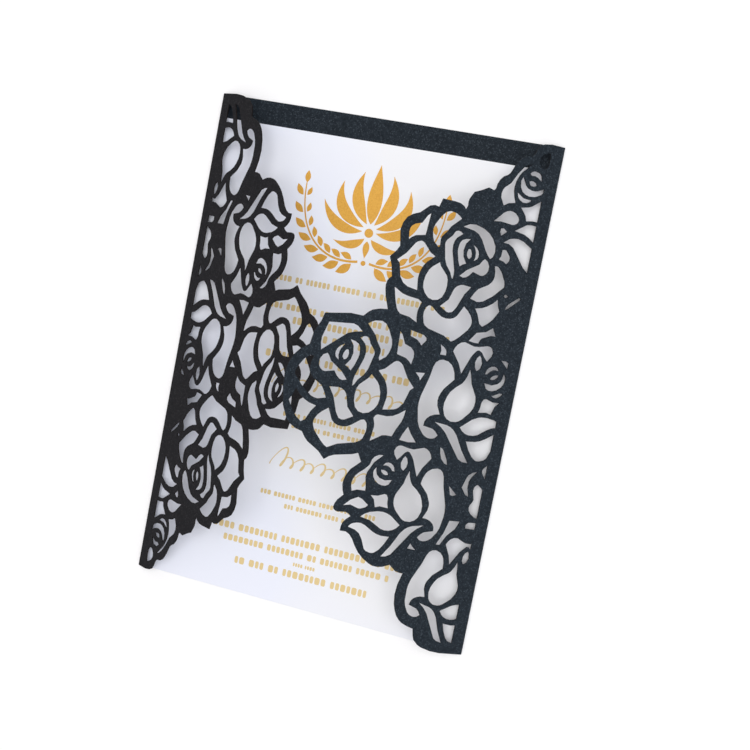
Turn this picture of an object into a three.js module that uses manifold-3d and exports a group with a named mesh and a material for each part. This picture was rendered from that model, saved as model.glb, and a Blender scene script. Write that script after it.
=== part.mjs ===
import * as THREE from "three";
import { mergeVertices } from "three/addons/utils/BufferGeometryUtils.js";
import Module from "manifold-3d";

// Millimetres. The wrap lies on its back panel, face up, with its head towards +Y.
// Origin at the middle of the underside.
const cardWidth = 127;
const cardHeight = 178;
const stock = 0.35;
const creaseInnerRadius = 0.5;
const creaseSteps = 7;
const flapReach = 83;
const leftLift = 32;
const tipClearance = 0.7;
const insertWidth = 122;
const insertHeight = 169.5;
const insertStock = 0.4;
const insertGap = 0.05;

// The lattice is drawn flat: u runs from the crease to the free edge, v from foot to head.
const marginStart = 0.8;
const marginWidth = 5;
const degree = Math.PI / 180;
const drawTolerance = 0.13;
const splineSteps = 4;

const wasm = await Module();
wasm.setup();

// A smooth run from its first point to the first point of the next run, a corner at each join.
function runPoints(run, end) {
  const points = [];
  for (let i = 0; i < run.length; i += 2) points.push(new THREE.Vector3(run[i], run[i + 1], 0));
  points.push(new THREE.Vector3(end[0], end[1], 0));
  if (points.length === 2) return [[run[0], run[1]]];
  const curve = new THREE.CatmullRomCurve3(points, false, "centripetal");
  return curve
    .getPoints(splineSteps * (points.length - 1))
    .slice(0, -1)
    .map((p) => [p.x, p.y]);
}

// An outline made of runs that meet in corners.
function cornered(...runs) {
  return runs.flatMap((run, i) => runPoints(run, runs[(i + 1) % runs.length]));
}

// A closed outline without a corner.
function smooth(...flat) {
  const points = [];
  for (let i = 0; i < flat.length; i += 2) points.push(new THREE.Vector3(flat[i], flat[i + 1], 0));
  const curve = new THREE.CatmullRomCurve3(points, true, "centripetal");
  return curve
    .getPoints(splineSteps * points.length)
    .slice(0, -1)
    .map((p) => [p.x, p.y]);
}

// Moves an outline so that the point from lands on to, scaled, turned and mirrored about it.
function placed(outline, { from, to, scale = 1, turn = 0, mirror = false }) {
  const c = Math.cos(turn * degree) * scale;
  const s = Math.sin(turn * degree) * scale;
  return outline.map(([u, v]) => {
    const du = (u - from[0]) * (mirror ? -1 : 1);
    const dv = v - from[1];
    return [to[0] + c * du - s * dv, to[1] + s * du + c * dv];
  });
}

// The open rose: the windows between its petals.
const roseHeart = [27.4, 136.6];
const roseWindows = {
  heart: smooth(28.2, 138.2, 28.5, 136.8, 28.1, 135.5, 27.2, 135, 26.5, 135.9, 26.7, 137.3, 27.4, 138.3),
  innerCurl: cornered(
    [26.7, 140, 25, 139, 24, 137.2, 24.3, 135.5],
    [25.6, 134.6, 25.2, 136, 25.4, 137.8, 26, 139],
  ),
  outerCurl: cornered(
    [28, 141.6, 29.8, 141.3, 31.4, 140.3, 32, 137.5, 31.6, 135.5, 30.9, 133.3],
    [30.2, 132, 29.2, 132.8],
    [28, 133.4, 28.6, 134.1, 29.4, 135.5, 29.8, 137.5, 29.5, 139.5, 28.9, 140.6],
  ),
  sidePetal: cornered(
    [31.1, 142.7, 32, 143.3, 33.3, 143.4, 34.2, 142.9, 34.9, 141.4, 36, 140.4, 36.9, 138.9, 36.5, 136],
    [35.9, 133.5, 34.9, 131.5, 33.2, 129.6, 32.4, 128],
    [31.8, 127.3, 31.6, 129, 31.9, 131, 32.8, 134, 33.7, 136.5, 33.9, 138.5, 33.6, 140, 32.7, 141.5],
  ),
  crownPetal: cornered(
    [31.6, 145.1, 29.5, 146.3, 27, 146.6, 24, 145.9, 21, 144.2, 19.1, 142, 18.3, 139.8, 18.4, 138,
      18.9, 137],
    [19.7, 136.4, 21, 137.6, 22.4, 139.5, 23.6, 141.6, 25.3, 143.5, 27, 144.4, 29, 144.8],
  ),
  lipPetal: cornered(
    [21.5, 136.1, 20.2, 135.4, 19.3, 133.5, 19.7, 131.7, 21, 130.5, 22.4, 130.4, 23.8, 130.9],
    [24.9, 131.1, 25.6, 130.2, 26.7, 129.1, 28.2, 128.6],
    [29.6, 129, 28.2, 130.6, 26.4, 132, 24.3, 133.1, 22.9, 134.2, 22.2, 135.5],
  ),
  crescentPetal: cornered(
    [17.4, 134.4, 16.3, 134.5, 14.8, 133.4, 13.3, 131.3, 12.4, 129],
    [12.4, 128, 14, 126.2, 16.5, 123.9, 19, 122.2, 21.5, 121.6],
    [24.1, 122.3, 23.2, 124, 21.8, 125.9, 20, 126.9, 18, 128.2, 16.9, 130, 16.8, 132.2],
  ),
  foldedPetal: cornered(
    [24.4, 126, 26.5, 126.3, 28.5, 126.1, 30, 125.2, 30.9, 123.5, 31.6, 121, 32.6, 119.7],
    [34.4, 118, 33, 117.1, 31.2, 116.4, 29.5, 116.8, 28.3, 118.5, 27.3, 121, 26.4, 123.2],
  ),
  tonguePetal: cornered(
    [25.7, 119.4, 26.5, 117.8, 27.6, 115.8, 29, 114.7, 31, 114.3, 33, 114.6, 35, 115.8, 36.6, 117.1,
      37.9, 117.6, 39.1, 117, 39.7, 115.2, 39.6, 113.3, 38.8, 111.2, 37, 110, 34, 109.2, 31, 108.6,
        29.2, 107.8],
    [27.9, 107, 26.2, 108, 24, 110.2, 22.2, 112.3, 21.6, 114.3, 22.2, 116.2, 23.8, 118],
  ),
  cupPetal: cornered(
    [37.4, 132.2, 36.8, 131, 35.5, 129.8, 34.2, 128.6, 33.4, 127, 33.2, 125, 33.4, 123, 34.2, 121,
      35.5, 119.9, 37.4, 119.5, 39.2, 120, 40.7, 121.3, 41.7, 123, 41.9, 125.3, 41.5, 127.5, 40.5,
        129.5, 39.2, 130.8],
  ),
  shoulderPetal: cornered(
    [32.6, 147.5, 33.6, 148.3, 35.2, 149, 37, 149.2, 38.6, 148.6, 39.9, 147.2, 40.6, 145.8, 41.7, 144,
      42.1, 142, 41.8, 140.2, 41, 138.4],
    [38.9, 136.7, 38.5, 137.6, 38.7, 138.9, 38.6, 140.2, 37.8, 141.4, 36.7, 142.8, 35.9, 144.3, 34.6,
      145.6],
  ),
  outerPetal: cornered(
    [43.8, 147.2, 44.9, 146.2, 45.7, 144.6, 46.4, 143.5, 47.6, 143.1, 49, 142.6, 50, 141.5, 50.3, 139.9],
    [49.9, 137.4, 49, 138.3, 47.6, 139.2, 46.2, 139.6],
    [44.3, 139.9, 44.3, 141.5, 44, 143.5, 43.8, 145.5],
  ),
  broadPetal: cornered(
    [52.6, 130.3, 51.5, 129.3, 50.8, 127, 50.3, 125, 49.6, 123.9, 48.2, 122.7, 46.2, 122.1],
    [43.5, 121.7, 43.6, 123, 44, 125, 43.9, 127.2, 43.3, 129.2, 42.3, 131, 41, 132.4],
    [39.4, 133.7, 41, 134.4, 42.3, 135.5, 43.6, 137, 45.1, 137.8, 46.6, 137.3, 47.9, 136, 48.9, 134.2,
      50.2, 132.5],
  ),
  hemPetal: cornered(
    [51.6, 121.5, 50.4, 120.9, 48.9, 120, 46.8, 119.4, 44.5, 119.1],
    [42.4, 118.9, 41, 118.1],
    [41.1, 117.6, 41.8, 115.6, 41.9, 113.5],
    [41.4, 111.2, 42.5, 111.8, 44, 112.5, 46, 113],
    [48, 113.2, 49.2, 114.3, 50.1, 116.3, 50.9, 118.6],
  ),
  cuffPetal: cornered(
    [13.8, 123.7, 13.2, 121.5],
    [12.3, 119.8, 13.7, 117.3, 15.8, 115],
    [17.6, 113.7, 18.7, 114.3, 19.5, 115.6, 20.2, 117.5],
    [21.5, 119.3, 19, 119.9, 16.8, 121, 15, 122.4],
  ),
};

// The half-open bud: the windows of its petals, its curled heart and the leaves that hold it.
const budTip = [33.4, 62.2];
const budWindows = {
  drop: cornered(
    [33.4, 62.2, 32.7, 59.4, 31.4, 57.3, 29.4, 55.8, 27.7, 54.1, 26.7, 52, 26.2, 50, 26.4, 48, 27.3, 46.1,
      28.8, 45, 30.5, 44.6, 32.5, 45.1, 34.4, 46.6, 35.9, 48.2, 36.9, 50, 37.2, 52, 36.8, 54, 35.6, 56,
        34.6, 58,
      34.2, 60],
  ),
  wrapPetal: cornered(
    [28.6, 58.2, 27.8, 57.2, 26.2, 55.8, 24.8, 53.8, 24, 51.5, 24.2, 49.3],
    [25.5, 46.6, 23.8, 46.4, 22, 45.6, 20.8, 44.3],
    [20.5, 42.5, 22, 42.3, 23.8, 41.8, 25, 41],
    [26, 39.8, 25.2, 39, 23.5, 38.6, 21.5, 39.2, 19.8, 40.8, 18.5, 43, 17.8, 46, 17.5, 49.5, 18, 52.5,
      19, 55.5, 19.8, 58, 20.5, 61.5, 21.4, 63.2, 23, 64, 25, 63.8, 26.8, 62.7, 28, 60.8],
  ),
  sepal: cornered(
    [24.2, 44.1, 26, 43.9, 28, 43.6, 30, 42.9, 31.5, 41.8, 32.6, 40.5, 33.6, 38.7, 34.6, 36.8, 35.8, 34.9],
    [38, 31.9, 36, 32.1, 34.4, 32.9, 33, 34.6, 31.5, 36.7, 30, 38.8, 28.4, 41, 26.5, 42.7],
  ),
  crownPetal: cornered(
    [26.4, 67, 27, 68.6, 28.3, 69.9, 30, 70.4, 31.8, 69.9, 33.5, 69.4, 36, 69.6, 38, 70.1, 39.5, 69.8,
      40.3, 68.8, 40.4, 67.4],
    [38.8, 65.1, 37.6, 66.3, 36.5, 67.8, 35.2, 68.4, 33.7, 67, 32.3, 64.5, 31.2, 61.8],
    [30.5, 60.2, 29.3, 63, 28, 65],
  ),
  bead: smooth(36, 66.8, 34.9, 65.5, 34.7, 63.5, 35.7, 61.8, 36.9, 62.8, 37.2, 64.8),
  heart: smooth(43.8, 61.2, 42.5, 61.1, 41.2, 60.4, 40.9, 59.7, 41.9, 59.5, 43.3, 60.2),
  innerCurl: cornered(
    [43.5, 62.6, 42.9, 63.5, 41.7, 63.9, 40.4, 63.6, 39.3, 62.6],
    [38.8, 61.1, 39.7, 61.2, 40.4, 62, 41.3, 62.6, 42.4, 62.8],
  ),
  outerCurl: cornered(
    [45.5, 62, 46.3, 60.8, 46.3, 59.1, 45.3, 57.4, 43.4, 56.2, 41.5, 55.9, 40, 56.5],
    [39.1, 58.2, 40.2, 58, 41.8, 57.8, 43.4, 58.2, 44.7, 59.1, 45.3, 60.5],
  ),
  rimPetal: cornered(
    [43.8, 66.1, 45.6, 66, 47, 65.2, 47.7, 64.2, 48.1, 62.6, 49, 61.4, 50.4, 60.1, 51.7, 59.1, 52.8, 57.7,
      53.3, 56, 53.2, 54.4],
    [52.7, 52.9, 51.9, 53.3, 50.4, 53.6],
    [47.9, 53.5, 47.9, 54.4, 48.3, 56, 48.7, 58, 48.5, 59.7, 47.9, 61, 47.2, 62.4, 46.4, 63.7, 45.2, 64.8],
  ),
  leaf: cornered(
    [54.8, 47.8, 53.9, 48.8, 52.5, 50, 51.1, 50.8],
    [50, 51.2, 48.7, 50.8, 47.3, 49.9],
    [45.9, 48.8, 46.4, 48.1, 47.4, 47.6, 48.9, 47.3, 50.5, 47.8, 52.1, 48.3],
  ),
  cuffPetal: cornered(
    [45.7, 52.3, 43.6, 52.3, 42, 52.7, 40.9, 53.2],
    [39.9, 53, 39.3, 51.9, 39.1, 50],
    [38.6, 48.5, 40.5, 48.8, 42, 48.8],
    [43.4, 48.3, 43.8, 49.9, 44.5, 51.3],
  ),
  upperLeaf: cornered(
    [48, 44.7, 47.1, 45.5, 45.5, 46.4, 43.3, 47, 41.2, 47.2, 39.3, 47, 37.4, 46.3, 35.6, 45.2],
    [33.1, 43.2, 34.6, 41.7, 36.3, 41, 38.4, 40.9, 39.9, 41.3, 41.5, 42.3, 43.1, 43.3, 44.7, 44, 46.3,
      44.4],
  ),
  lowerLeaf: cornered(
    [51.6, 40.9, 50.8, 41.9, 49.2, 42.5, 47.3, 42.6, 45.5, 41.9, 43.6, 40.7, 41.5, 39.6, 39.3, 39],
    [36.1, 38.9, 36.9, 37.2, 38, 35.4, 39.3, 33.8, 40.7, 32.9, 42, 32.8, 43.6, 33.3, 44.7, 34.3, 45.3, 35.9,
      46.1, 37.5, 47.3, 39.1, 48.9, 40.1],
  ),
};

// The windows of the half-seen bloom at the head, cut off by the crease margin.
const headWindows = [
  smooth(8.9, 172, 8.3, 173.6, 7, 174.5, 5.4, 175, 5, 173, 5.2, 170.4, 6.6, 169.3, 8, 170),
  cornered(
    [11, 170.2, 12.6, 169.7, 14, 168.4, 15.2, 166.8, 16.2, 165.1, 17, 163.3, 18.2, 161.7, 19.6, 160.6,
      20.3, 159, 20.2, 157.2],
    [18.7, 154.7, 17.5, 155.6, 16.2, 156.1],
    [14.5, 156.4, 15.2, 157.9, 15.8, 159.7, 16, 161.6, 15.7, 163.5, 15, 165.4, 13.8, 167.3, 12.4, 168.8],
  ),
  cornered(
    [11.3, 166.9, 10.3, 167.8, 8.8, 168, 7.2, 167.4],
    [6.3, 165.1, 7.1, 165.5, 8, 166.1, 9.3, 166.5, 10.5, 166.4],
  ),
  smooth(11, 164.3, 10, 164.7, 8.6, 164.4, 7.9, 163.5, 9, 163, 10.4, 163.2),
  cornered(
    [13.5, 165.4, 14.1, 164, 13.8, 162, 12.8, 160.5, 11, 159.6, 9, 159.5, 6.6, 160.2, 5, 161.5],
    [4.4, 163.2, 5.6, 162.6, 7.6, 161.7, 9.4, 161.6, 11.2, 162.2, 12.4, 163.6],
  ),
  cornered(
    [14.5, 160, 14.2, 158.8, 13.1, 157.6, 11.6, 157, 10, 157.3],
    [8.8, 158.3, 10.4, 158.3, 12.2, 158.6, 13.4, 159.4],
  ),
  cornered(
    [4.5, 159.2, 6.5, 157.6, 9, 156, 11, 155.5],
    [12.1, 155.3, 10.6, 153.7, 9.7, 152.5],
    [9.3, 151.2, 8, 151.5, 6.5, 151.7],
    [4.5, 151.6],
  ),
  cornered(
    [21.1, 149, 19.5, 150.9, 17.5, 152.8, 15.2, 153.5, 13, 152.7, 11.9, 151.2, 12.3, 149.8, 13.8, 149.1,
      16, 149.3, 18.5, 149.4],
  ),
  cornered([12.7, 147.3, 11, 148.5, 9, 149.9, 7.5, 150.3], [4.5, 150.2], [4.5, 144.3, 7, 145.9, 9.5,
    146.9]),
  cornered([18, 147.1, 16.8, 147.4], [15.5, 146.4], [17.4, 144.7, 18, 146]),
  cornered(
    [16, 142.7, 14.5, 144, 12.5, 144.7, 10, 144.8, 7, 143.7],
    [4.5, 142.3],
    [4.5, 133.9, 6.5, 135.3, 8.5, 137.4, 10.5, 139.9, 12, 141.6, 14, 142.6],
  ),
  cornered(
    [15.8, 140.2, 14.5, 140.4, 13.2, 139.3, 12.4, 137.9, 12.6, 136.6],
    [13.4, 135.8, 14.7, 136.5],
    [16.5, 136.9, 15.9, 138],
  ),
];

// Small windows that lighten the ground between the blooms.
const groundWindows = [
  smooth(11.9, 125.3, 11.2, 125.9, 10.3, 125.3, 11, 124.6),
  smooth(10.5, 120.6, 10, 122.2, 7.8, 124.2, 5.8, 125.6, 5.4, 125.1, 7, 123.5, 9, 121.6),
  cornered(
    [13.4, 114, 12.7, 112.7],
    [11.8, 111.2, 13.3, 111.3, 15.3, 110.5, 17, 109.6],
    [17.7, 108, 19.5, 108],
    [21.5, 108.3, 20.4, 109.8, 19.2, 111.4, 17.5, 111.9, 15.8, 112.2, 14.5, 113.1],
  ),
  cornered(
    [42.9, 108.5, 41.2, 108.2, 39.5, 107.9, 38, 107.6, 36.8, 106.8, 36.7, 105.9],
    [38.2, 104, 39, 104.9, 40.2, 105.8, 41.5, 106.3],
    [42.7, 106.6],
  ),
  cornered([31.3, 105.5, 30, 104.9, 28.8, 103.8], [28.6, 102.2], [30.9, 102.2, 30.7, 103.6]),
  cornered([38.3, 95], [34.8, 95.3, 35.3, 94], [36.2, 92.4, 36.8, 93.6]),
  cornered([8.9, 91.1, 7.6, 90.6, 6.2, 91], [4.5, 92.6, 6.2, 92.4, 7.5, 91.7]),
  cornered(
    [50.1, 78, 49.2, 79.2, 47.5, 79.2, 45.7, 79.1, 43.5, 79.5, 41.5, 80.5],
    [39.1, 82.2, 39.3, 80, 40, 77.5, 41.3, 75.2],
    [42.3, 72.7, 44, 72.8, 45.8, 72.6, 47.5, 71.7],
    [49.9, 70.1, 49.8, 71.6, 49.4, 73.5, 49.3, 75.5, 49.7, 77],
  ),
  cornered([37.2, 76.8, 36.2, 75.2, 34.9, 73.5], [33.3, 71.8, 35.5, 71.5, 37.5, 71.6], [39.5, 71.9,
    38.7, 74]),
  cornered([24, 71.4, 22.9, 70.8, 21.8, 69.2, 20.7, 67.3], [20.2, 65.6, 21.5, 66.1, 22.9, 67.5, 23.7,
    69.3]),
  cornered([12.7, 60, 12.2, 61.6, 11.4, 63.2, 10, 64.2], [8.4, 64.6, 9.8, 62.9, 10.7, 61.3, 10.9, 59.6,
    10.6, 57.6],
    [9.9, 55.7, 11.3, 56.3, 12.3, 57.5], [13.1, 58.7]),
  cornered([4.5, 67.8, 6.7, 65.3], [4.5, 61.5]),
  cornered(
    [4.5, 58, 6.2, 59.6, 7.4, 60.2, 8.3, 59.4, 8.6, 58, 8.2, 56.5, 7.7, 55.2, 8, 54, 8.8, 52.8, 8.9, 51.5,
      8.2, 50.2, 6.5, 49],
    [4.5, 48.1],
  ),
  cornered([8.7, 44.6, 8.8, 45.8, 7.8, 46.8], [4.5, 46.9], [4.5, 44.5]),
  cornered([17.9, 58.6, 16.9, 57.9, 16, 56.9], [14.5, 55.8, 15.8, 55.3, 17, 55.6, 17.5, 57]),
  cornered([15.2, 46.7, 13.5, 46.8], [11.2, 46.8, 11.7, 45.4, 12.4, 44, 13.5, 42.9, 14.8, 41.7, 15.8, 40.2],
    [17, 38, 18.4, 38.1, 17.5, 40, 16.5, 42.2, 15.8, 44.5]),
  cornered([28, 37.5, 27, 36.4], [25.6, 35.3], [28.8, 35.6]),
];

// The middle rose's crown window, squarer than the one it is mirrored from.
const squareCrown = cornered(
  [71.5, 106.6, 68, 107, 65, 107.3, 62.5, 107.3, 61, 106.6],
  [59.5, 105.3, 62, 104.9, 64.5, 104, 67, 102, 69, 100.3],
  [71.5, 98.3],
  [72.5, 97.3, 72.9, 99, 73, 101.5, 72, 104.5],
);

// The free edge of the lattice, from the crease's head round to its foot.
const freeEdge = cornered(
  [0.8, 178],
  [5.4, 178, 8, 177.5, 9.6, 176.7, 10.4, 175.3, 10.9, 173.6],
  [11.7, 172.6, 13.5, 172.4, 15.3, 171.4, 16.6, 169.7, 17.6, 167.7, 18.2, 166],
  [19.2, 164.9, 20.6, 164.1, 21.7, 162.8, 22.4, 161.2, 22.6, 159.6],
  [23.2, 158.9],
  [25.2, 159.4, 26.6, 158.6, 28.3, 157.7],
  [30, 157, 30.9, 155.5, 31.5, 153.6, 31.4, 152],
  [31.9, 150.8, 32.8, 151.7, 34.3, 152.4, 36.5, 152.6],
  [40.7, 152.6],
  [41.5, 149.7, 43.1, 150, 44.7, 149.5, 46.1, 148.2, 47.7, 146.7, 50, 145.7, 51.8, 144.4, 52.9, 142.4,
    53.4, 140,
    53.1, 138, 52.5, 136],
  [52.4, 134.8, 53.2, 133.2],
  [55.2, 130.8, 54.2, 128.6, 53.6, 126.4],
  [53.2, 124.6, 54.3, 123.4, 54.7, 121.6, 54.3, 119, 53.6, 116.8],
  [52.4, 113.9, 54, 113.8, 56, 113.4, 58, 112.6],
  [60.3, 110.4, 62, 110.4, 64, 110.6, 66.8, 110.3, 69.6, 109.8],
  [73.4, 109.2, 73.9, 107, 74.7, 105.2, 75.7, 103.4, 76.2, 101.2],
  [76.5, 98.6, 78.6, 97.3, 80.4, 95.5, 81.8, 93.2, 82.7, 90.6, 83, 87.5, 82.8, 84.3],
  [82.2, 80.7, 81.6, 78],
  [80.3, 75, 79.3, 73.4, 77.6, 71.9, 75.7, 70.9],
  [73.6, 70.3, 72.4, 68.6, 70.6, 66.9, 68.4, 65.7, 66.3, 64.2],
  [64.5, 62.3, 62.4, 63.7, 60, 64.4, 57, 64.8, 54.5, 65.2],
  [53, 65.8],
  [51.3, 62.9, 52.9, 61.5, 54.5, 60.1, 55.5, 58.5, 56.1, 56.7, 56.3, 54.8, 55.9, 53],
  [55.2, 51.3, 56.4, 50.3, 57.5, 48.7, 58, 47, 57.5, 46, 56.5, 45.6, 55, 45.6, 53.4, 45.7, 52.2, 45.2],
  [51.3, 44.4, 52.7, 43.3, 53.6, 42.2, 54, 40.9],
  [54.1, 39.3, 52, 39.2, 50.5, 38.3, 49.2, 36.9, 48.1, 35.1, 46.5, 32.9, 44.9, 31.3, 43.3, 30.1, 41.2, 28.9,
    39, 28.3, 36.5, 28.5],
  [34, 29.4, 33, 28.5, 31.5, 27.4, 30, 27],
  [28.5, 26.9, 29.3, 24.5, 29.9, 21, 29.8, 17.5, 29, 14.5, 27.8, 12, 25.9, 10, 23.5, 8.8],
  [20.7, 7.9, 20.3, 6, 19.6, 4, 18.2, 2.6, 16.5, 1.6, 14.7, 1.1, 12, 0.3, 9, 0],
  [0.8, 0],
);

// The upper rose as drawn, and the middle rose mirrored from it.
const middleRose = { from: roseHeart, to: [63.9, 97], scale: 1.04, turn: 1.5, mirror: true };
// The lower bud as drawn, and the two mirrored from it that the crease margin cuts off.
const creaseBud = { from: budTip, to: [18.8, 99.1], scale: 1.06, turn: -2, mirror: true };
const footBud = { from: budTip, to: [8.9, 32.8], scale: 0.95, turn: 9, mirror: true };
const middleRoseParts = Object.keys(roseWindows).filter(
  (name) => !["hemPetal", "crownPetal"].includes(name),
);
const footBudParts = ["drop", "wrapPetal", "sepal", "crownPetal", "bead", "upperLeaf", "lowerLeaf"];
const creaseBudParts = Object.keys(budWindows).filter((name) => name !== "leaf");

// The drawing's own extent, which is stretched to the flap's reach and the card's height.
const drawnReach = Math.max(...freeEdge.map(([u]) => u));
const drawnHeight = Math.max(...freeEdge.map(([, v]) => v));
const drawnStart = Math.min(...freeEdge.map(([u]) => u));

function stretched([u, v]) {
  const across = (u - drawnStart) / (drawnReach - drawnStart);
  return new THREE.Vector2(marginStart + across * (flapReach - marginStart),
    (v / drawnHeight) * cardHeight);
}

// The points that an outline needs to stay within drawTolerance of itself.
function thinnedRun(points) {
  const a = points[0];
  const b = points[points.length - 1];
  const length = Math.hypot(b[0] - a[0], b[1] - a[1]) || 1;
  let far = 0;
  let most = 0;
  points.forEach((p, i) => {
    const off = Math.abs((b[0] - a[0]) * (p[1] - a[1]) - (b[1] - a[1]) * (p[0] - a[0])) / length;
    if (off > most) [most, far] = [off, i];
  });
  if (most <= drawTolerance) return [a];
  return [...thinnedRun(points.slice(0, far + 1)), ...thinnedRun(points.slice(far))];
}

function thinned(outline) {
  const distances = outline.map((p) => Math.hypot(p[0] - outline[0][0], p[1] - outline[0][1]));
  const far = distances.indexOf(Math.max(...distances));
  const closed = [...outline, outline[0]];
  return [...thinnedRun(closed.slice(0, far + 1)), ...thinnedRun(closed.slice(far))];
}

// An outline raised to a closed prism between two heights, ready to join and cut.
function prism(outline, low, high) {
  const shape = new THREE.Shape(outline);
  const geometry = new THREE.ExtrudeGeometry(shape, { depth: high - low, bevelEnabled: false });
  geometry.translate(0, 0, low);
  geometry.deleteAttribute("normal");
  geometry.deleteAttribute("uv");
  const merged = mergeVertices(geometry, 1e-5);
  const vertProperties = merged.attributes.position.array;
  const triVerts = new Uint32Array(merged.index.array);
  return new wasm.Manifold(new wasm.Mesh({ numProp: 3, vertProperties, triVerts }));
}

// Every window's outline, those of the mirrored blooms included.
function windowOutlines() {
  return [
    ...Object.values(roseWindows),
    ...middleRoseParts.map((name) => placed(roseWindows[name], middleRose)),
    squareCrown,
    ...Object.values(budWindows),
    ...creaseBudParts.map((name) => placed(budWindows[name], creaseBud)),
    ...footBudParts.map((name) => placed(budWindows[name], footBud)),
    ...headWindows,
    ...groundWindows,
  ];
}

// The flat lattice: windows cut through the free edge's outline, none of them in the crease margin.
function latticePlate() {
  const drawn = (outline) => thinned(outline).map(stretched);
  const windows = windowOutlines().map((outline) => prism(drawn(outline), -stock, 2 * stock));
  const margin = [
    [-flapReach, -cardHeight],
    [marginWidth, -cardHeight],
    [marginWidth, 2 * cardHeight],
    [-flapReach, 2 * cardHeight],
  ].map(([u, v]) => new THREE.Vector2(u, v));
  const cutter = wasm.Manifold.union(windows).subtract(prism(margin, -2 * stock, 3 * stock));
  return prism(drawn(freeEdge), 0, stock).subtract(cutter);
}

// The right flap's lift, which carries its inner face over the left flap's tip with tipClearance.
function rightLift() {
  const outer = creaseInnerRadius + stock;
  const rise = leftLift * degree;
  const reach = flapReach - marginStart;
  const span = cardWidth - 2 * outer - reach * Math.cos(rise) + outer * Math.sin(rise);
  const height = reach * Math.sin(rise) + outer * Math.cos(rise);
  const over = Math.asin((tipClearance - creaseInnerRadius) / Math.hypot(span, height));
  return (Math.atan2(height, span) + over) / degree;
}

// A flap's frame: x runs away from the crease, z from the outer face into the stock.
function flapFrame(angle) {
  const rise = angle * degree;
  const outer = creaseInnerRadius + stock;
  const along = new THREE.Vector3(-Math.cos(rise), 0, Math.sin(rise));
  const inward = new THREE.Vector3(-Math.sin(rise), 0, -Math.cos(rise));
  const start = new THREE.Vector3(cardWidth / 2 - outer, -cardHeight / 2, outer);
  start.addScaledVector(inward, -outer).addScaledVector(along, -marginStart);
  const frame = new THREE.Matrix4().makeBasis(along, new THREE.Vector3(0, 1, 0), inward);
  return frame.setPosition(start);
}

// Pushes a flat list of triangles, each corner a Vector3, turned half round for the left side.
function pushTriangles(out, triangles, halfTurn) {
  const sign = halfTurn ? -1 : 1;
  triangles.forEach((p) => out.push(sign * p.x, sign * p.y, p.z));
}

// The lattice's triangles on its frame, without the end face that the crease joins.
function flapTriangles(plate, angle) {
  const { vertProperties, triVerts, numProp } = plate.getMesh();
  const frame = flapFrame(angle);
  const atCrease = (i) => Math.abs(vertProperties[i * numProp] - marginStart) < 1e-4;
  const corners = [];
  for (let t = 0; t < triVerts.length; t += 3) {
    const ids = [triVerts[t], triVerts[t + 1], triVerts[t + 2]];
    if (ids.every(atCrease)) continue;
    ids.forEach((i) => {
      const at = vertProperties.subarray(i * numProp, i * numProp + 3);
      corners.push(new THREE.Vector3(at[0], at[1], at[2]).applyMatrix4(frame));
    });
  }
  return corners;
}

// Half of the back panel with its bent crease: stations from the middle to the flap's start.
function creaseTriangles(angle) {
  const outer = creaseInnerRadius + stock;
  const centre = cardWidth / 2 - outer;
  const stations = [[new THREE.Vector3(0, 0, stock), new THREE.Vector3(0, 0, 0)]];
  for (let i = 0; i < creaseSteps; i++) {
    const bend = ((180 - angle) * degree * i) / creaseSteps;
    const at = (r) => new THREE.Vector3(centre + r * Math.sin(bend), 0, outer - r * Math.cos(bend));
    stations.push([at(creaseInnerRadius), at(outer)]);
  }
  const frame = flapFrame(angle);
  const last = (depth) => new THREE.Vector3(marginStart, cardHeight / 2, depth).applyMatrix4(frame);
  stations.push([last(stock), last(0)]);
  const corners = [];
  const quad = (a, b, c, d) => corners.push(a, b, c, a, c, d);
  const head = (p) => new THREE.Vector3(p.x, cardHeight / 2, p.z);
  const foot = (p) => new THREE.Vector3(p.x, -cardHeight / 2, p.z);
  for (let i = 0; i + 1 < stations.length; i++) {
    const [innerA, outerA] = stations[i];
    const [innerB, outerB] = stations[i + 1];
    quad(head(innerA), foot(innerA), foot(innerB), head(innerB));
    quad(foot(outerA), head(outerA), head(outerB), foot(outerB));
    quad(head(outerA), head(innerA), head(innerB), head(outerB));
    quad(foot(innerA), foot(outerA), foot(outerB), foot(innerB));
  }
  return corners;
}

// One folded sheet: back panel, two bent creases and two raised flaps of lattice.
function gatefoldWrap() {
  const plate = latticePlate();
  const positions = [];
  [[rightLift(), false], [leftLift, true]].forEach(([angle, halfTurn]) => {
    pushTriangles(positions, creaseTriangles(angle), halfTurn);
    pushTriangles(positions, flapTriangles(plate, angle), halfTurn);
  });
  const geometry = new THREE.BufferGeometry();
  geometry.setAttribute("position", new THREE.Float32BufferAttribute(positions, 3));
  return mergeVertices(geometry, 1e-4);
}

function charcoalCard() {
  return new THREE.MeshStandardMaterial({ color: 0x353c42, roughness: 0.55, metalness: 0.1 });
}

function pearlCard() {
  return new THREE.MeshStandardMaterial({ color: 0xe6e8f0, roughness: 0.4, metalness: 0 });
}

const wrap = new THREE.Mesh(gatefoldWrap(), charcoalCard());
wrap.name = "gatefold_wrap";

// The loose card on the back panel, its foot level with the wrap's.
const insert = new THREE.Mesh(new THREE.BoxGeometry(insertWidth, insertHeight, insertStock), pearlCard());
insert.name = "insert_card";
insert.position.set(0, (insertHeight - cardHeight) / 2, stock + insertGap + insertStock / 2);

const invitation = new THREE.Group();
invitation.name = "lasercut_invitation";
invitation.add(wrap, insert);
export default invitation;
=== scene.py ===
import math
import random

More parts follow.
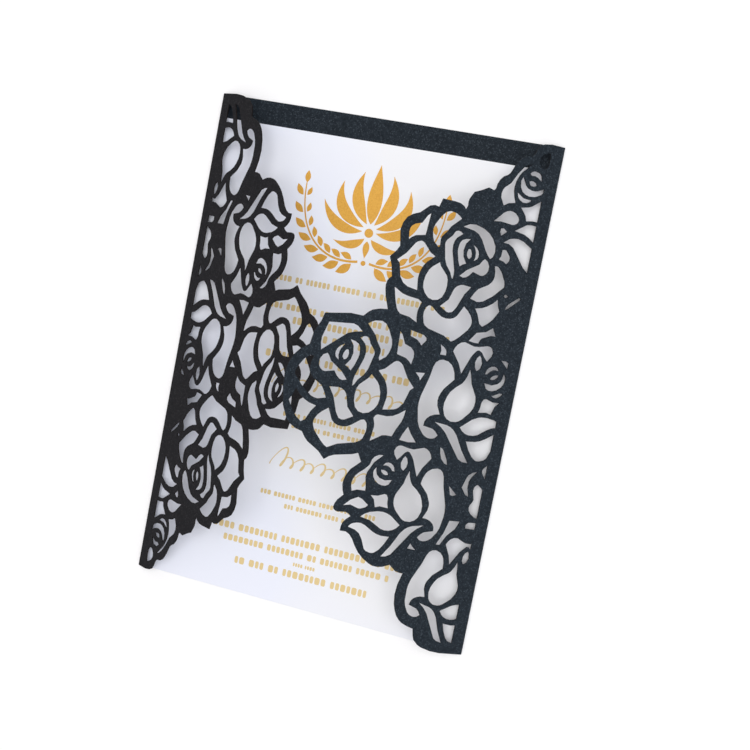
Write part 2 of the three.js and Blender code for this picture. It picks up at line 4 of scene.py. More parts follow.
import bmesh
import bpy
from mathutils import Euler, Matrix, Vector


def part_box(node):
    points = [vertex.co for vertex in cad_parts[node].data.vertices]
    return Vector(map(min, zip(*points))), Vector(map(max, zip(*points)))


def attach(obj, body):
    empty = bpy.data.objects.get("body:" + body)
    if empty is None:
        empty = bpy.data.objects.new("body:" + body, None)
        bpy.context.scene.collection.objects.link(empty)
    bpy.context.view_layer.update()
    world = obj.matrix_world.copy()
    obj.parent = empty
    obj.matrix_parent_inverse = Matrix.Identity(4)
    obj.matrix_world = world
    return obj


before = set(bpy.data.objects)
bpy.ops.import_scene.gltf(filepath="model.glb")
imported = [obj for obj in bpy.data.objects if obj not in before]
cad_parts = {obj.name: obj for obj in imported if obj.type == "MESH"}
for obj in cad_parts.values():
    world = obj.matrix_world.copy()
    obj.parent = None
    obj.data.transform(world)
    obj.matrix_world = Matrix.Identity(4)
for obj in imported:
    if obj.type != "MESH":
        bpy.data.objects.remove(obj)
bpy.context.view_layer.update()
mm = 0.001
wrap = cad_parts["gatefold_wrap"]
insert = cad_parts["insert_card"]
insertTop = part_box("insert_card")[1].z
print("frame loaded:", ", ".join(sorted(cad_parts)))

# The camera stands above the card's right side and looks down on it.
cameraSettings = {
    "place": (134.790, 36.344, 422.183),  # mm
    "turn": (-1.6448, 16.5929, 11.5177),  # degrees
    "lens": 59.623,
    "sensor": 36.0,
    "shift": (-0.00277, 0.00544),
    "clipStart": 0.01,  # m
}

camera = bpy.data.objects.new("camera", bpy.data.cameras.new("camera"))
bpy.context.scene.collection.objects.link(camera)
camera.location = Vector(cameraSettings["place"]) * mm
camera.rotation_euler = Euler([math.radians(angle) for angle in cameraSettings["turn"]], "XYZ")
camera.data.sensor_width = cameraSettings["sensor"]
camera.data.lens = cameraSettings["lens"]
camera.data.shift_x, camera.data.shift_y = cameraSettings["shift"]
camera.data.clip_start = cameraSettings["clipStart"]
bpy.context.scene.camera = camera
print("camera set")


# A colour from sRGB hex as linear light.
def linearColour(hexText):
    values = [int(hexText[i : i + 2], 16) / 255 for i in (1, 3, 5)]
    return [v / 12.92 if v <= 0.04045 else ((v + 0.055) / 1.055) ** 2.4 for v in values] + [1.0]


# Adds a node. An input is a value, or the socket that it is linked from.
def addNode(tree, kind, settings=None, inputs=None):
    made = tree.nodes.new(kind)
    for name, value in (settings or {}).items():
        setattr(made, name, value)
    for key, value in (inputs or {}).items():
        socket = made.inputs[key]
        if isinstance(value, bpy.types.NodeSocket):
            tree.links.new(value, socket)
        else:
            socket.default_value = value
    return made


def newMaterial(name):
    material = bpy.data.materials.new(name)
    material.use_nodes = True
    tree = material.node_tree
    tree.nodes.clear()
    return material, tree


wrapCard = {
    "deep": "#171D23",
    "light": "#262D34",
    "fibreSize": 1.2,  # mm
    "fibreFade": (0.32, 0.68),  # the fibre's noise from deep to light
    "fibreHeight": 0.02,  # mm
    "fibreStrength": 0.35,
    # painted glint: the lighter colour of the mica flakes' sparkle
    "flakeGlintColour": "#59636C",
    "flakeSize": 0.35,  # mm, coarser than real mica so that it shows
    "flakeShare": 0.25,
    "flakeGlintStrength": 0.3,
    "leftPaintedShade": "#CFB3AD",  # painted shade: the left flap is made a darker, browner black than the rest, for the light it faces
    "leftShadeFade": (0.87, 0.97),  # where the crease turns into the flap
    "cutEdge": "#17120F",  # scorched by the laser
    "wallLimit": 0.1,  # how far from square to the flap a wall may be
    "creaseTop": 1.6,  # mm, nothing is cut below it
    "tipReach": 7.5,  # mm, how far past the middle a flap's tip may come
    "roughness": 0.58,
    "specular": 0.07,
}

flapLift = {"right": 38.47, "left": 32.0}  # degrees, as the wrap's solid stands


# Pearlescent card, mica-coated and calendered: a dark satin whose mica flakes show as a painted
# glint, browned where the laser cut it, with painted shade that makes the left flap a darker,
# browner black.
def pearlescentCharcoalCard():
    material, tree = newMaterial("pearlescent_charcoal_card")
    place = addNode(tree, "ShaderNodeTexCoord").outputs["Object"]
    fibre = addNode(
        tree,
        "ShaderNodeTexNoise",
        inputs={
            "Vector": place,
            "Scale": 1 / (wrapCard["fibreSize"] * mm),
            "Detail": 6.0,
            "Roughness": 0.7,
        },
    )
    fade = addNode(
        tree,
        "ShaderNodeMapRange",
        inputs={
            "Value": fibre.outputs["Fac"],
            "From Min": wrapCard["fibreFade"][0],
            "From Max": wrapCard["fibreFade"][1],
        },
    )
    body = addNode(
        tree,
        "ShaderNodeMix",
        {"data_type": "RGBA"},
        {
            "Factor": fade.outputs["Result"],
            "A": linearColour(wrapCard["deep"]),
            "B": linearColour(wrapCard["light"]),
        },
    )
    # The mica flakes are real; their lighter colour is a painted glint.
    flakes = addNode(
        tree,
        "ShaderNodeTexVoronoi",
        inputs={"Vector": place, "Scale": 1 / (wrapCard["flakeSize"] * mm), "Randomness": 1.0},
    )
    chance = addNode(tree, "ShaderNodeSeparateColor", inputs={"Color": flakes.outputs["Color"]})
    flakeGlintLevel = addNode(
        tree,
        "ShaderNodeMapRange",
        inputs={
            "Value": chance.outputs["Red"],
            "From Min": 1 - wrapCard["flakeShare"],
            "To Max": wrapCard["flakeGlintStrength"],
        },
    )
    flakeGlinted = addNode(
        tree,
        "ShaderNodeMix",
        {"data_type": "RGBA"},
        {
            "Factor": flakeGlintLevel.outputs["Result"],
            "A": body.outputs["Result"],
            "B": linearColour(wrapCard["flakeGlintColour"]),
        },
    )
    # Painted shade: the faces of the left flap are multiplied to a darker, browner black.
    leftShadeMask = addNode(
        tree,
        "ShaderNodeMapRange",
        inputs={
            "Value": flapFacing(tree, "left"),
            "From Min": wrapCard["leftShadeFade"][0],
            "From Max": wrapCard["leftShadeFade"][1],
        },
    )
    shadePainted = addNode(
        tree,
        "ShaderNodeMix",
        {"data_type": "RGBA", "blend_type": "MULTIPLY"},
        {
            "Factor": leftShadeMask.outputs["Result"],
            "A": flakeGlinted.outputs["Result"],
            "B": linearColour(wrapCard["leftPaintedShade"]),
        },
    )
    edged = addNode(
        tree,
        "ShaderNodeMix",
        {"data_type": "RGBA"},
        {
            "Factor": cutEdgeMask(tree),
            "A": shadePainted.outputs["Result"],
            "B": linearColour(wrapCard["cutEdge"]),
        },
    )
    bump = addNode(
        tree,
        "ShaderNodeBump",
        inputs={
            "Strength": wrapCard["fibreStrength"],
            "Distance": wrapCard["fibreHeight"] * mm,
            "Height": fibre.outputs["Fac"],
        },
    )
    shader = addNode(
        tree,
        "ShaderNodeBsdfPrincipled",
        inputs={
            "Base Color": edged.outputs["Result"],
            "Roughness": wrapCard["roughness"],
            "Specular IOR Level": wrapCard["specular"],
            "IOR": 1.5,
            "Normal": bump.outputs["Normal"],
        },
    )
    addNode(tree, "ShaderNodeOutputMaterial", inputs={"Surface": shader.outputs["BSDF"]})
    return material


# 1 where a face is parallel to one flap's faces, and 0 on the walls of that flap's windows.
def flapFacing(tree, side):
    rise = math.radians(flapLift[side])
    lean = math.sin(rise) if side == "right" else -math.sin(rise)
    geometry = addNode(tree, "ShaderNodeNewGeometry")
    facing = addNode(
        tree,
        "ShaderNodeVectorMath",
        {"operation": "DOT_PRODUCT"},
        {0: geometry.outputs["True Normal"], 1: (lean, 0.0, math.cos(rise))},
    )
    level = addNode(tree, "ShaderNodeMath", {"operation": "ABSOLUTE"}, {0: facing.outputs["Value"]})
    return level.outputs["Value"]


# 1 on the walls that the laser cut, which stand square to their flap's faces, and 0 elsewhere.
def cutEdgeMask(tree):
    place = addNode(tree, "ShaderNodeTexCoord").outputs["Object"]
    axes = addNode(tree, "ShaderNodeSeparateXYZ", inputs={"Vector": place})
    reach = wrapCard["tipReach"] * mm
    total = 0.0
    for side, compare, limit in (("right", "GREATER_THAN", -reach), ("left", "LESS_THAN", reach)):
        tests = (
            ("LESS_THAN", flapFacing(tree, side), wrapCard["wallLimit"]),
            ("GREATER_THAN", axes.outputs["Z"], wrapCard["creaseTop"] * mm),
            (compare, axes.outputs["X"], limit),
        )
        mask = 1.0
        for operation, value, bound in tests:
            test = addNode(tree, "ShaderNodeMath", {"operation": operation}, {0: value, 1: bound})
            joined = addNode(
                tree,
                "ShaderNodeMath",
                {"operation": "MULTIPLY"},
                {0: mask, 1: test.outputs["Value"]},
            )
            mask = joined.outputs["Value"]
        either = addNode(tree, "ShaderNodeMath", {"operation": "MAXIMUM"}, {0: total, 1: mask})
        total = either.outputs["Value"]
    return total


insertCard = {
    "cool": "#ECEFFA",
    "warm": "#F1F2F5",
    "bloomSize": 60.0,  # mm, the slow change of the pearl
    "bloomFade": (0.35, 0.65),  # the bloom's noise from cool to warm
    "reflectionFrom": -48.0,  # mm, painted reflection: where the cooler left side starts to warm
    "reflectionTo": 22.0,
    "reflectionShift": 0.15,
    "fibreSize": 0.9,  # mm
    "fibreHeight": 0.01,  # mm
    "fibreStrength": 0.2,
    "roughness": 0.34,
    "roughnessSpread": 0.06,
    "coat": 0.25,
    "coatRoughness": 0.3,
}


# White pearl card, coated and calendered: a cool white with a slow lilac bloom and a satin gloss,
# and a painted reflection that drifts from cool on the left to warm on the right.
def whitePearlCard():
    material, tree = newMaterial("white_pearl_card")
    place = addNode(tree, "ShaderNodeTexCoord").outputs["Object"]
    bloom = addNode(
        tree,
        "ShaderNodeTexNoise",
        inputs={"Vector": place, "Scale": 1 / (insertCard["bloomSize"] * mm), "Detail": 1.0},
    )
    fibre = addNode(
        tree,
        "ShaderNodeTexNoise",
        inputs={"Vector": place, "Scale": 1 / (insertCard["fibreSize"] * mm), "Detail": 5.0},
    )
    axes = addNode(tree, "ShaderNodeSeparateXYZ", inputs={"Vector": place})
    # Painted reflection: the tone drifts from cool on the left to warm on the right, on top of the
    # bloom's own slow change.
    side = addNode(
        tree,
        "ShaderNodeMapRange",
        {"interpolation_type": "SMOOTHSTEP"},
        {
            "Value": axes.outputs["X"],
            "From Min": insertCard["reflectionFrom"] * mm,
            "From Max": insertCard["reflectionTo"] * mm,
            "To Min": -insertCard["reflectionShift"],
            "To Max": insertCard["reflectionShift"],
        },
    )
    bloomAndReflection = addNode(
        tree,
        "ShaderNodeMath",
        {"operation": "ADD"},
        {0: bloom.outputs["Fac"], 1: side.outputs["Result"]},
    )
    fade = addNode(
        tree,
        "ShaderNodeMapRange",
        inputs={
            "Value": bloomAndReflection.outputs["Value"],
            "From Min": insertCard["bloomFade"][0],
            "From Max": insertCard["bloomFade"][1],
        },
    )
    tone = addNode(
        tree,
        "ShaderNodeMix",
        {"data_type": "RGBA"},
        {
            "Factor": fade.outputs["Result"],
            "A": linearColour(insertCard["cool"]),
            "B": linearColour(insertCard["warm"]),
        },
    )
    rough = addNode(
        tree,
        "ShaderNodeMapRange",
        inputs={
            "Value": fibre.outputs["Fac"],
            "To Min": insertCard["roughness"] - insertCard["roughnessSpread"],
            "To Max": insertCard["roughness"] + insertCard["roughnessSpread"],
        },
    )
    bump = addNode(
        tree,
        "ShaderNodeBump",
        inputs={
            "Strength": insertCard["fibreStrength"],
            "Distance": insertCard["fibreHeight"] * mm,
            "Height": fibre.outputs["Fac"],
        },
    )
    shader = addNode(
        tree,
        "ShaderNodeBsdfPrincipled",
        inputs={
            "Base Color": tone.outputs["Result"],
            "Roughness": rough.outputs["Result"],
            "IOR": 1.5,
            "Coat Weight": insertCard["coat"],
            "Coat Roughness": insertCard["coatRoughness"],
            "Normal": bump.outputs["Normal"],
        },
    )
    addNode(tree, "ShaderNodeOutputMaterial", inputs={"Surface": shader.outputs["BSDF"]})
    return material


goldPrint = {
    "solid": "#D9A441",
    "shade": "#CC9433",
    "lines": "#DCC48E",
    "powderSize": 0.5,  # mm
    "powderFade": (0.3, 0.6),  # the powder's noise from the shade to the colour
    "thickness": 0.02,  # mm, raised a little above the card
    "sunk": 0.005,  # mm, how far a strip goes into the card
    "metallic": 0.3,
    "roughness": 0.42,
}


# The mottled tone of a broad area of ink, from the shade to the colour.
def mottledTone(tree, colour, shade):
    place = addNode(tree, "ShaderNodeTexCoord").outputs["Object"]
    powder = addNode(
        tree,
        "ShaderNodeTexNoise",
        inputs={"Vector": place, "Scale": 1 / (goldPrint["powderSize"] * mm), "Detail": 4.0},
    )
    fade = addNode(
        tree,
        "ShaderNodeMapRange",
        inputs={
            "Value": powder.outputs["Fac"],
            "From Min": goldPrint["powderFade"][0],
            "From Max": goldPrint["powderFade"][1],
        },
    )
    tone = addNode(
        tree,
        "ShaderNodeMix",
        {"data_type": "RGBA"},
        {"Factor": fade.outputs["Result"], "A": linearColour(shade), "B": linearColour(colour)},
    )
    return tone.outputs["Result"]


# Gold ink, screen printed: mostly a flat ochre, with the soft glint of its bronze powder. Fine
# lines have no second shade.
def bronzeInk(name, colour, shade=None):
    material, tree = newMaterial(name)
    shader = addNode(
        tree,
        "ShaderNodeBsdfPrincipled",
        inputs={
            "Base Color": mottledTone(tree, colour, shade) if shade else linearColour(colour),
            "Metallic": goldPrint["metallic"],
            "Roughness": goldPrint["roughness"],
        },
    )
    addNode(tree, "ShaderNodeOutputMaterial", inputs={"Surface": shader.outputs["BSDF"]})
    return material


wrap.data.materials.clear()
wrap.data.materials.append(pearlescentCharcoalCard())
insert.data.materials.clear()
insert.data.materials.append(whitePearlCard())
print("card materials made")


def newPiece(name, mesh, material):
    piece = bpy.data.objects.new(name, mesh)
    bpy.context.scene.collection.objects.link(piece)
    piece.data.materials.clear()
    piece.data.materials.append(material)
    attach(piece, "root")


# Adds a closed slab along a path on the insert's face, in millimetres, that climbs a little so that
# a path may cross itself.
def addStrip(made, points, halfWidths, climb=0.0, lift=0.0):
    low = insertTop - goldPrint["sunk"] * mm
    high = insertTop + (goldPrint["thickness"] + lift) * mm
    rings = []
    last = len(points) - 1
    for i, (x, y) in enumerate(points):
        ax, ay = points[max(0, i - 1)]
        bx, by = points[min(last, i + 1)]
        length = math.hypot(bx - ax, by - ay)
        nx, ny = -(by - ay) / length * halfWidths[i], (bx - ax) / length * halfWidths[i]
        top = high + climb * mm * i / last
        left, right = ((x - nx) * mm, (y - ny) * mm), ((x + nx) * mm, (y + ny) * mm)
        corners = ((*left, low), (*right, low), (*right, top), (*left, top))
        rings.append([made.verts.new(corner) for corner in corners])
    for first, second in zip(rings, rings[1:]):
        for k in range(4):
            made.faces.new((first[k], second[k], second[(k + 1) % 4], first[(k + 1) % 4]))
    made.faces.new(rings[0])
    made.faces.new(rings[-1][::-1])


def finishedMesh(made, name):
    bmesh.ops.recalc_face_normals(made, faces=made.faces[:])
    mesh = bpy.data.meshes.new(name)
    made.to_mesh(mesh)
    made.free()
    return mesh


ornament = {
    "centre": (1.0, 54.0),  # mm
    "petals": [  # root, two handles, tip, widest half-width
        ((1.4, -2.2), (5.6, 2.6), (8.4, 8.0), (5.4, 15.8), 2.3),
        ((2.4, -3.4), (9.4, -1.6), (14.6, 3.0), (12.4, 11.6), 2.2),
        ((2.6, -4.9), (9.4, -6.2), (15.6, -3.4), (18.6, 4.0), 1.9),
        ((1.3, -7.4), (3.4, -9.8), (7.2, -11.6), (12.6, -9.6), 1.5),
    ],
    "petalSwell": 0.9,  # under 1, the widest place lies nearer the root
    "drops": [(-2.0, 19.0, 2.7), (-8.2, -14.2, 1.2)],  # root, tip, widest half-width
    "dropSwell": 0.75,
    "discs": [(-5.2, 1.6), (-16.0, 0.9)],  # height, radius
    "discSteps": 16,
    "discEndWidth": 0.02,
    "stem": ((2.2, -15.8), (15.0, -18.6), (26.4, -11.0), (26.4, 8.6)),
    "stemWidth": 0.42,
    "stemTaper": 0.5,
    "leafCount": 8,
    "leafFrom": 0.06,  # where the first leaf stands, as a share of the stem
    "leafRun": 0.86,  # the share of the stem that bears leaves
    "leafLength": (6.6, 4.4),  # at the root and at the tip of the stem
    "leafSpread": 36.0,  # degrees off the stem
    "leafBend": ((0.35, 1.25), (0.7, 1.0), (1.0, 0.8)),  # handles and tip: length and spread
    "leafStart": (0.75, 1.5),  # mm and radians off the stem
    "leafWidth": 0.24,  # half-width as a share of the length
    "innerShare": 0.72,  # the inner leaves' size against the outer ones
    "endWidth": 0.05,  # mm, least half-width of a petal, drop or leaf
    "steps": 22,
    "layerLift": 0.0004,  # mm, so that no two strips that overlap share a face
}


def bezierPoint(a, b, c, d, t):
    s = 1 - t
    weights = (s * s * s, 3 * s * s * t, 3 * s * t * t, t * t * t)
    return tuple(sum(w * p[k] for w, p in zip(weights, (a, b, c, d))) for k in (0, 1))


# Half-widths that swell from one end of a strip and close at the other.
def swollenWidths(width, swell):
    turns = [math.pi * (i / ornament["steps"]) ** swell for i in range(ornament["steps"] + 1)]
    return [max(ornament["endWidth"], width * math.sin(turn)) for turn in turns]


def petalStrip(root, first, second, tip, width):
    steps = ornament["steps"]
    points = [bezierPoint(root, first, second, tip, i / steps) for i in range(steps + 1)]
    return points, swollenWidths(width, ornament["petalSwell"])


def dropStrip(root, tip, width):
    steps = ornament["steps"]
    points = [(0.0, root + (tip - root) * i / steps) for i in range(steps + 1)]
    return points, swollenWidths(width, ornament["dropSwell"])


def discStrip(height, radius):
    steps = ornament["discSteps"]
    turns = [math.pi * i / steps for i in range(steps + 1)]
    points = [(-radius * math.cos(turn), height) for turn in turns]
    return points, [max(ornament["discEndWidth"], radius * math.sin(turn)) for turn in turns]


# A leaf that leaves the stem at an angle and bends back along it. Side 0 is the one at its end.
def stemLeaf(t, side, share=1.0):
    near = 0.01  # the share of the stem over which its direction is taken
    x, y = bezierPoint(*ornament["stem"], t)
    ahead = bezierPoint(*ornament["stem"], min(1.0, t + near))
    behind = bezierPoint(*ornament["stem"], max(0.0, t - near))
    along = math.atan2(ahead[1] - behind[1], ahead[0] - behind[0])
    if side != 0:
        away, turn = ornament["leafStart"]
        x += away * math.cos(along + side * turn)
        y += away * math.sin(along + side * turn)
    first, last = ornament["leafLength"]
    length = share * (first + (last - first) * t)
    spread = math.radians(ornament["leafSpread"]) * side
    bend = []
    for reach, turn in ornament["leafBend"]:
        angle = along + spread * turn
        bend.append((x + reach * length * math.cos(angle), y + reach * length * math.sin(angle)))
    return petalStrip((x, y), *bend, length * ornament["leafWidth"])


# A symmetrical palmette between two laurel stems.
def palmetteStrips():
    half = [petalStrip(*petal) for petal in ornament["petals"]]
    steps = 2 * ornament["steps"]
    stem = [bezierPoint(*ornament["stem"], i / steps) for i in range(steps + 1)]
    thinning = [1 - ornament["stemTaper"] * i / steps for i in range(steps + 1)]
    half.append((stem, [ornament["stemWidth"] * share for share in thinning]))
    for i in range(ornament["leafCount"]):
        t = ornament["leafFrom"] + ornament["leafRun"] * i / (ornament["leafCount"] - 1)
        half += [stemLeaf(t, 1, ornament["innerShare"]), stemLeaf(t, -1)]
    half.append(stemLeaf(1.0, 0))
    mirrored = [([(-x, y) for x, y in points], widths) for points, widths in half]
    middle = [dropStrip(*drop) for drop in ornament["drops"]]
    middle += [discStrip(*disc) for disc in ornament["discs"]]
    return half + mirrored + middle


def palmetteMesh():
    made = bmesh.new()
    cx, cy = ornament["centre"]
    for layer, (points, widths) in enumerate(palmetteStrips()):
        placed = [(x + cx, y + cy) for x, y in points]
        addStrip(made, placed, widths, lift=ornament["layerLift"] * layer)
    return finishedMesh(made, "gold_palmette")


ornamentInk = bronzeInk("screen_printed_bronze_ink", goldPrint["solid"], goldPrint["shade"])
newPiece("gold_palmette", palmetteMesh(), ornamentInk)
print("palmette made")

printedRows = {
    "rows": [  # height on the card, left end, right end, bar height, all in mm
        (27.5, -31.0, 35.0, 2.1),
        (17.5, -34.0, 39.0, 2.2),
        (13.2, -21.0, 22.0, 2.6),
        (8.6, -12.0, 15.0, 2.6),
        (0.0, -29.0, 27.0, 2.6),
        (-20.6, -18.0, 18.0, 1.7),
        (-24.2, -14.0, 14.0, 1.7),
        (-50.0, -21.0, 24.0, 1.7),
        (-53.6, -11.0, 14.0, 1.7),
        (-65.4, -37.0, 37.0, 2.5),
        (-69.9, -32.0, 33.0, 2.3),
        (-73.6, -3.5, 5.0, 1.3),
        (-77.4, -26.0, 27.5, 2.6),
    ],
    "blockShare": 0.62,  # a block's width as a share of its height
    "blockRange": (0.75, 1.25),  # and how much it varies
    "leastShare": 0.3,
    "gapShare": 0.2,
    "wordGapShare": 0.55,
    "wordLength": (2, 8),  # blocks in a group
    "cornerRadius": 0.28,  # as a share of a block's sides
    "sunk": 0.002,  # mm
    "seed": 7,
}


# One point for each block of a row, with the block's size as an attribute.
def rowPoints():
    draw = random.Random(printedRows["seed"])
    points, sizes = [], []
    for y, left, right, height in printedRows["rows"]:
        x = left
        blocksLeft = draw.randint(*printedRows["wordLength"])
        while x < right:
            share = draw.uniform(*printedRows["blockRange"])
            width = min(height * printedRows["blockShare"] * share, right - x)
            if width > printedRows["leastShare"] * height:
                points.append((x + width / 2, y))
                sizes.append((width, height))
            x += width + height * printedRows["gapShare"]
            blocksLeft -= 1
            if blocksLeft == 0:
                x += height * printedRows["wordGapShare"]
                blocksLeft = draw.randint(*printedRows["wordLength"])
    return points, sizes


def printedBlocksTree(material):
    tree = bpy.data.node_groups.new("printed_blocks", "GeometryNodeTree")
    tree.interface.new_socket("Points", in_out="INPUT", socket_type="NodeSocketGeometry")
    thick = tree.interface.new_socket("Thickness", in_out="INPUT", socket_type="NodeSocketFloat")
    thick.default_value = goldPrint["thickness"] * mm
    corner = tree.interface.new_socket("Corner", in_out="INPUT", socket_type="NodeSocketFloat")
    corner.default_value = printedRows["cornerRadius"]
    tree.interface.new_socket("Blocks", in_out="OUTPUT", socket_type="NodeSocketGeometry")
    source = addNode(tree, "NodeGroupInput")
    size = addNode(
        tree,
        "GeometryNodeInputNamedAttribute",
        {"data_type": "FLOAT_VECTOR"},
        {"Name": "size"},
    )
    parts = addNode(tree, "ShaderNodeSeparateXYZ", inputs={"Vector": size.outputs["Attribute"]})
    scale = addNode(
        tree,
        "ShaderNodeCombineXYZ",
        inputs={"X": parts.outputs["X"], "Y": parts.outputs["Y"], "Z": source.outputs["Thickness"]},
    )
    outline = addNode(
        tree,
        "GeometryNodeCurvePrimitiveQuadrilateral",
        inputs={"Width": 1.0, "Height": 1.0},
    )
    rounded = addNode(
        tree,
        "GeometryNodeFilletCurve",
        {"mode": "POLY"},
        {
            "Curve": outline.outputs["Curve"],
            "Count": 3,
            "Radius": source.outputs["Corner"],
            "Limit Radius": True,
        },
    )
    filled = addNode(tree, "GeometryNodeFillCurve", inputs={"Curve": rounded.outputs["Curve"]})
    raised = addNode(
        tree,
        "GeometryNodeExtrudeMesh",
        inputs={"Mesh": filled.outputs["Mesh"], "Offset Scale": 1.0, "Individual": False},
    )
    lower = addNode(tree, "GeometryNodeFlipFaces", inputs={"Mesh": filled.outputs["Mesh"]})
    closed = addNode(tree, "GeometryNodeJoinGeometry")
    tree.links.new(raised.outputs["Mesh"], closed.inputs["Geometry"])
    tree.links.new(lower.outputs["Mesh"], closed.inputs["Geometry"])
    merged = addNode(
        tree,
        "GeometryNodeMergeByDistance",
        inputs={"Geometry": closed.outputs["Geometry"], "Distance": 0.0001},
    )
    placed = addNode(
        tree,
        "GeometryNodeInstanceOnPoints",
        inputs={
            "Points": source.outputs["Points"],
            "Instance": merged.outputs["Geometry"],
            "Scale": scale.outputs["Vector"],
        },
    )
    real = addNode(
        tree,
        "GeometryNodeRealizeInstances",
        inputs={"Geometry": placed.outputs["Instances"]},
    )
    coated = addNode(
        tree,
        "GeometryNodeSetMaterial",
        inputs={"Geometry": real.outputs["Geometry"], "Material": material},
    )
    addNode(tree, "NodeGroupOutput", inputs={"Blocks": coated.outputs["Geometry"]})
    return tree


# Rows of small rounded blocks that stand for lines of print.
def printedBlocksMesh(material):
    points, sizes = rowPoints()
    mesh = bpy.data.meshes.new("row_points")
    level = insertTop - printedRows["sunk"] * mm
    mesh.from_pydata([(x * mm, y * mm, level) for x, y in points], [], [])
    attribute = mesh.attributes.new("size", "FLOAT_VECTOR", "POINT")
    for i, (width, height) in enumerate(sizes):
        attribute.data[i].vector = (width * mm, height * mm, 0.0)
    carrier = bpy.data.objects.new("row_points", mesh)
    bpy.context.scene.collection.objects.link(carrier)
    modifier = carrier.modifiers.new("blocks", "NODES")
    modifier.node_group = printedBlocksTree(material)
    bpy.context.view_layer.update()
    evaluated = carrier.evaluated_get(bpy.context.evaluated_depsgraph_get())
    made = bpy.data.meshes.new_from_object(evaluated)
    made.name = "gold_rows"
    bpy.data.objects.remove(carrier)
    return made


rowInk = bronzeInk("fine_bronze_ink", goldPrint["lines"])
newPiece("gold_rows", printedBlocksMesh(rowInk), rowInk)
print("rows of print made")

penStrokes = {
    "strokes": [  # height on the card, left end, right end, loop height, loops
        (-9.4, -24.0, 25.0, 3.0, 12),
        (-38.6, -19.0, 21.0, 3.0, 10),
    ],
    "lean": 0.45,
    "sway": 1.1,  # mm, how far a loop turns back
    "below": 0.35,  # the share of a loop under its line
    "tallStart": (1.1, 0.05, 0.06),  # how much taller the first loops are, where, how widely
    "tallWaves": (0.5, 5.3),  # how much taller the others are in turn, and how often
    "thin": 0.14,  # mm, half-width of the up strokes
    "thick": 0.36,
    "climb": 0.03,  # mm from end to end
    "stepsPerLoop": 28,
}


# A running line of leaning loops, heavier on its down strokes as from a broad nib.
def penStrokesMesh():
    made = bmesh.new()
    startSwell, startAt, startSpread = penStrokes["tallStart"]
    waveSwell, waves = penStrokes["tallWaves"]
    thin, thick = penStrokes["thin"], penStrokes["thick"]
    for y, left, right, height, loops in penStrokes["strokes"]:
        steps = loops * penStrokes["stepsPerLoop"]
        points, widths = [], []
        for i in range(steps + 1):
            t = i / steps
            angle = 2 * math.pi * loops * t
            swell = 1.0 + startSwell * math.exp(-(((t - startAt) / startSpread) ** 2))
            swell += waveSwell * math.sin(waves * math.pi * t) ** 2
            rise = height * swell * 0.5 * (1 - math.cos(angle)) - penStrokes["below"] * height
            back = penStrokes["sway"] * math.sin(angle)
            x = left + (right - left) * t - back + penStrokes["lean"] * rise
            points.append((x, y + rise))
            widths.append(thin + (thick - thin) * 0.5 * (1 - math.sin(angle)))
        addStrip(made, points, widths, climb=penStrokes["climb"])
    return finishedMesh(made, "gold_pen_strokes")


newPiece("gold_pen_strokes", penStrokesMesh(), rowInk)
print("pen strokes made")

stage = {
    "floorSize": 6.0,  # m
    "floorDrop": 0.05,  # mm below the part
    "floorColour": "#F4F4F4",
    "floorRoughness": 0.9,
    "liftNear": 0.1,  # the floor's own light beside the card
    "liftFar": 0.45,  # and where the lamp no longer reaches
    "liftFrom": 0.16,  # m from the card's middle
    "liftTo": 0.8,
    "worldLeft": (0.4, "#FFF0E6"),  # strength and colour of the sky on the card's left
    "worldRight": (0.95, "#F4F8FF"),
    "lamps": [  # name, place in m, size in m, power in W, colour
        ("keyLamp", (0.32, 0.12, 1.18), 0.9, 7.9, "#FFFFFF"),
    ],
}


# 1 for the rays that meet a plain white background, and 0 for those that only light the card.
def seenDirectly(tree):
    path = addNode(tree, "ShaderNodeLightPath")
    first = addNode(
        tree,
        "ShaderNodeMath",
        {"operation": "MAXIMUM"},
        {0: path.outputs["Is Camera Ray"], 1: path.outputs["Is Glossy Ray"]},
    )
    both = addNode(
        tree,
        "ShaderNodeMath",
        {"operation": "MAXIMUM"},
        {0: first.outputs["Value"], 1: path.outputs["Is Transmission Ray"]},
    )
    return both.outputs["Value"]


def setWorld():
    world = bpy.data.worlds.new("studio")
    bpy.context.scene.world = world
    world.use_nodes = True
    tree = world.node_tree
    tree.nodes.clear()
    toward = addNode(tree, "ShaderNodeTexCoord").outputs["Generated"]
    axes = addNode(tree, "ShaderNodeSeparateXYZ", inputs={"Vector": toward})
    rightward = addNode(
        tree,
        "ShaderNodeMapRange",
        inputs={"Value": axes.outputs["X"], "From Min": -1.0},
    )
    ends = []
    for strength, colour in (stage["worldLeft"], stage["worldRight"]):
        ends.append([strength * level for level in linearColour(colour)[:3]] + [1.0])
    sky = addNode(
        tree,
        "ShaderNodeMix",
        {"data_type": "RGBA"},
        {"Factor": rightward.outputs["Result"], "A": ends[0], "B": ends[1]},
    )
    shown = addNode(
        tree,
        "ShaderNodeMix",
        {"data_type": "RGBA"},
        {"Factor": seenDirectly(tree), "A": sky.outputs["Result"], "B": (1.0, 1.0, 1.0, 1.0)},
    )
    light = addNode(tree, "ShaderNodeBackground", inputs={"Color": shown.outputs["Result"]})
    addNode(tree, "ShaderNodeOutputWorld", inputs={"Surface": light.outputs["Background"]})


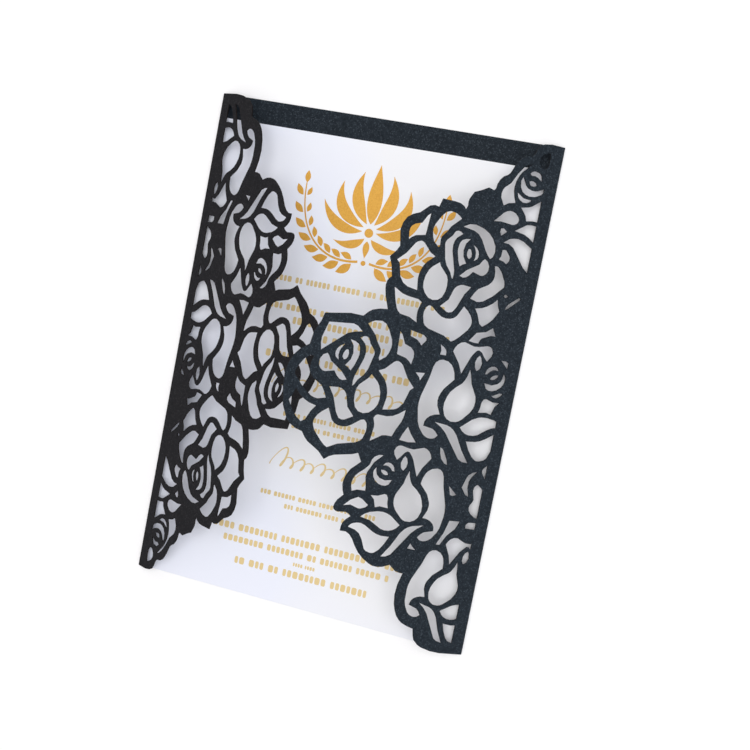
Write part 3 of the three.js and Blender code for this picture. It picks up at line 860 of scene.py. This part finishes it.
# A pale floor whose own light lifts it to white where nothing shades it.
def paintedFloor():
    material, tree = newMaterial("matt_white_paint")
    place = addNode(tree, "ShaderNodeTexCoord").outputs["Object"]
    away = addNode(tree, "ShaderNodeVectorMath", {"operation": "LENGTH"}, {0: place})
    level = addNode(
        tree,
        "ShaderNodeMapRange",
        {"interpolation_type": "SMOOTHSTEP"},
        {
            "Value": away.outputs["Value"],
            "From Min": stage["liftFrom"],
            "From Max": stage["liftTo"],
            "To Min": stage["liftNear"],
            "To Max": stage["liftFar"],
        },
    )
    lift = addNode(
        tree,
        "ShaderNodeMath",
        {"operation": "MULTIPLY"},
        {0: seenDirectly(tree), 1: level.outputs["Result"]},
    )
    shader = addNode(
        tree,
        "ShaderNodeBsdfPrincipled",
        inputs={
            "Base Color": linearColour(stage["floorColour"]),
            "Roughness": stage["floorRoughness"],
            "Emission Color": (1.0, 1.0, 1.0, 1.0),
            "Emission Strength": lift.outputs["Value"],
        },
    )
    addNode(tree, "ShaderNodeOutputMaterial", inputs={"Surface": shader.outputs["BSDF"]})
    return material


def layFloor():
    half = stage["floorSize"] / 2
    mesh = bpy.data.meshes.new("floor")
    corners = [(-half, -half, 0), (half, -half, 0), (half, half, 0), (-half, half, 0)]
    mesh.from_pydata(corners, [], [(0, 1, 2, 3)])
    floor = bpy.data.objects.new("floor", mesh)
    floor.location.z = -stage["floorDrop"] * mm
    floor.data.materials.append(paintedFloor())
    bpy.context.scene.collection.objects.link(floor)


def hangLamps():
    for name, place, size, power, colour in stage["lamps"]:
        lamp = bpy.data.objects.new(name, bpy.data.lights.new(name, "AREA"))
        lamp.data.shape = "DISK"
        lamp.data.size = size
        lamp.data.energy = power
        lamp.data.color = linearColour(colour)[:3]
        lamp.location = place
        lamp.rotation_euler = (-Vector(place)).to_track_quat("-Z", "Y").to_euler()
        bpy.context.scene.collection.objects.link(lamp)


setWorld()
layFloor()
hangLamps()
bpy.context.scene.view_settings.view_transform = "Standard"
print("stage set")
